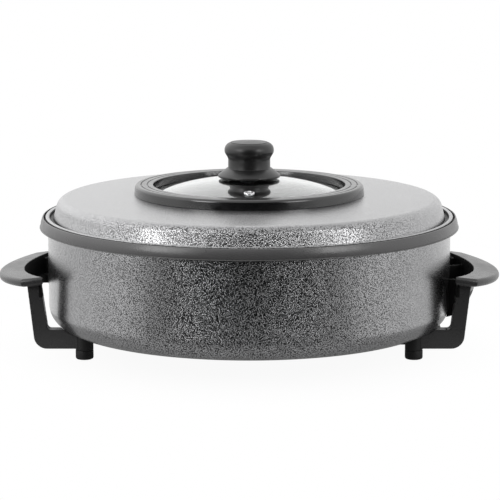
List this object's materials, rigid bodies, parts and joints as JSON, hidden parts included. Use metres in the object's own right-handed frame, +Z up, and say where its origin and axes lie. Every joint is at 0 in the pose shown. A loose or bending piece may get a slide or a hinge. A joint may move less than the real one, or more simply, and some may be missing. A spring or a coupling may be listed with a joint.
{
  "type": "electric pizza pan",
  "caption": "Round electric pizza pan: deep hammered pan on black handles with legs, lift-off lid with a round glass window and knob, and a socket for a plug-in thermostat.",
  "frame": {"origin": "middle of the footprint, on the table under the feet", "axes": "+X through the right handle with the inlet, +Y away from the viewer, +Z up"},
  "size_m": [0.499, 0.4164, 0.2062],
  "materials": {
    "hammered_pan": "silver and black hammertone enamel, clear and glossy",
    "hammered_lid": "silver and black hammertone enamel, clear and glossy",
    "rim_black": "satin dark grey heat-proof plastic",
    "handle_black": "satin black heat-proof moulding",
    "foot_rubber": "matt black rubber",
    "fastener_steel": "zinc plated",
    "heater_steel": "dull steel sheath",
    "strap_aluminium": "bare pressed sheet",
    "inlet_black": "matt black heat-proof moulding",
    "contact_steel": "nickel plated",
    "brass": "bare turned brass",
    "ring_black": "satin black heat-proof plastic",
    "seal_silicone": "matt dark silicone",
    "glass": "clear toughened glass",
    "eyelet_chrome": "polished steel",
    "knob_black": "satin black heat-proof moulding"
  },
  "bodies": {
    "pan": {"pan_shell": "hammered_pan", "rim_ring": "rim_black", "left_handle": "handle_black", "right_handle": "handle_black", "front_left_foot": "foot_rubber", "front_right_foot": "foot_rubber", "rear_left_foot": "foot_rubber", "rear_right_foot": "foot_rubber", "leg_studs": "fastener_steel", "leg_nuts": "fastener_steel", "heating_element": "heater_steel", "heater_straps": "strap_aluminium", "inlet_housing": "inlet_black", "inlet_studs": "fastener_steel", "inlet_nuts": "fastener_steel", "terminal_pins": "contact_steel", "probe_sleeve": "brass", "earth_springs": "contact_steel"},
    "lid": {"lid_shell": "hammered_lid", "window_ring": "ring_black", "window_seal": "seal_silicone", "window_glass": "glass", "window_clamp": "ring_black", "clamp_screws": "fastener_steel", "vent_eyelet": "eyelet_chrome", "knob": "knob_black", "knob_insert": "brass", "knob_screw": "fastener_steel", "knob_seal": "seal_silicone", "knob_washer": "fastener_steel"}
  },
  "joints": [
    {"name": "lid_lift", "type": "slide", "parent": "pan", "child": "lid", "axis": [0, 0, 1], "range_m": [0, 0.15]}
  ]
}
